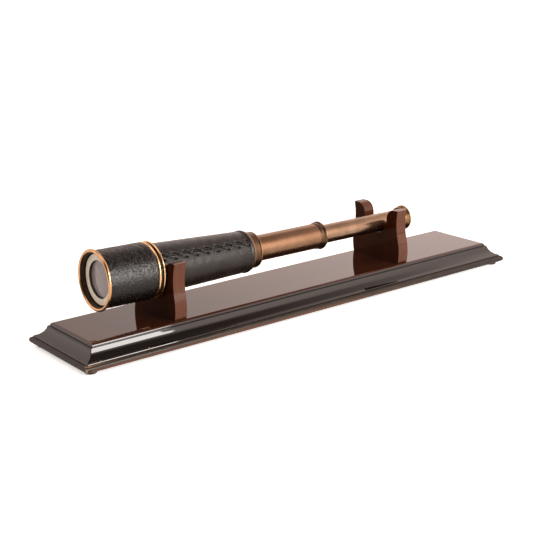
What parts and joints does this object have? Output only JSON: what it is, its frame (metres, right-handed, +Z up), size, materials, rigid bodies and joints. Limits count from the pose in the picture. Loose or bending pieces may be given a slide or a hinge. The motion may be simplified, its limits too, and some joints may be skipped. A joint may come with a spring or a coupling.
{
  "type": "brass telescope",
  "caption": "Leather-bound brass hand telescope with sliding draw tubes and a dew shade, resting in two wooden cradles on a moulded stand.",
  "frame": {"origin": "on the ground under the middle of the stand", "axes": "+X along the stand towards the eyepiece, +Y across it, +Z up; the objective end points to -X"},
  "size_m": [0.5358, 0.1083, 0.0971],
  "materials": {
    "mahogany": "dark red-brown high-gloss lacquer",
    "steel": "plain screw steel",
    "rubber": "matte black",
    "black_leather": "pebbled, semi-matte",
    "barrel_hide": "smooth hide, soft sheen",
    "thread": "waxed black thread",
    "brass_bright": "polished and lacquered",
    "copper_brown": "antiqued dark copper brown",
    "draw_brass": "satin antique rose brass",
    "plain_brass": "dull, inside faces",
    "cream_lacquer": "matte pale lacquer",
    "lens_glass": "clear polished",
    "blackened": "matt optical black",
    "felt": "dark felt"
  },
  "bodies": {
    "stand": {"base_board": "mahogany", "bead_board": "mahogany", "front_cradle": "mahogany", "rear_cradle": "mahogany", "cradle_screws": "steel", "corner_feet": "rubber", "foot_nails": "steel"},
    "barrel": {"objective_tube": "plain_brass", "objective_cell": "cream_lacquer", "crown_lens": "lens_glass", "flint_lens": "lens_glass", "lens_spacer": "blackened", "objective_retainer": "blackened", "barrel_front_ring": "brass_bright", "barrel_tube": "plain_brass", "barrel_leather": "barrel_hide", "leather_welt": "barrel_hide", "seam_lacing": "thread", "barrel_end_band": "brass_bright", "barrel_end_collar": "copper_brown", "collar_bead": "brass_bright", "draw_1_guide": "felt", "glare_stop": "blackened"},
    "dew_shade": {"shade_tube": "plain_brass", "shade_leather": "black_leather", "front_bezel": "brass_bright", "shade_end_ring": "brass_bright", "shade_lining": "felt"},
    "draw_1": {"draw_1_tube": "draw_brass", "draw_1_stop": "plain_brass", "draw_1_collar": "draw_brass", "draw_1_bead": "copper_brown", "collar_pin": "steel", "draw_2_guide": "felt"},
    "draw_2": {"draw_2_tube": "draw_brass", "draw_2_stop": "plain_brass", "erector_tube": "blackened", "erector_front_lens": "lens_glass", "erector_rear_lens": "lens_glass", "erector_diaphragm": "blackened", "eyepiece_body": "plain_brass", "field_lens": "lens_glass", "eye_lens": "lens_glass", "eyepiece_spacer": "blackened", "eyepiece_ring": "copper_brown", "eye_cup": "draw_brass", "eye_cap": "blackened"}
  },
  "joints": [
    {"name": "telescope_lift", "type": "slide", "parent": "stand", "child": "barrel", "axis": [0, 0, 1], "range_m": [0, 0.12]},
    {"name": "shade_slide", "type": "slide", "parent": "barrel", "child": "dew_shade", "axis": [-0.9997, 0, 0.0241], "range_m": [0, 0.045]},
    {"name": "draw_1_slide", "type": "slide", "parent": "barrel", "child": "draw_1", "axis": [1, 0, -0.0087], "range_m": [-0.008, 0.025]},
    {"name": "draw_2_slide", "type": "slide", "parent": "draw_1", "child": "draw_2", "axis": [1, 0, -0.0087], "range_m": [-0.008, 0.027]}
  ]
}
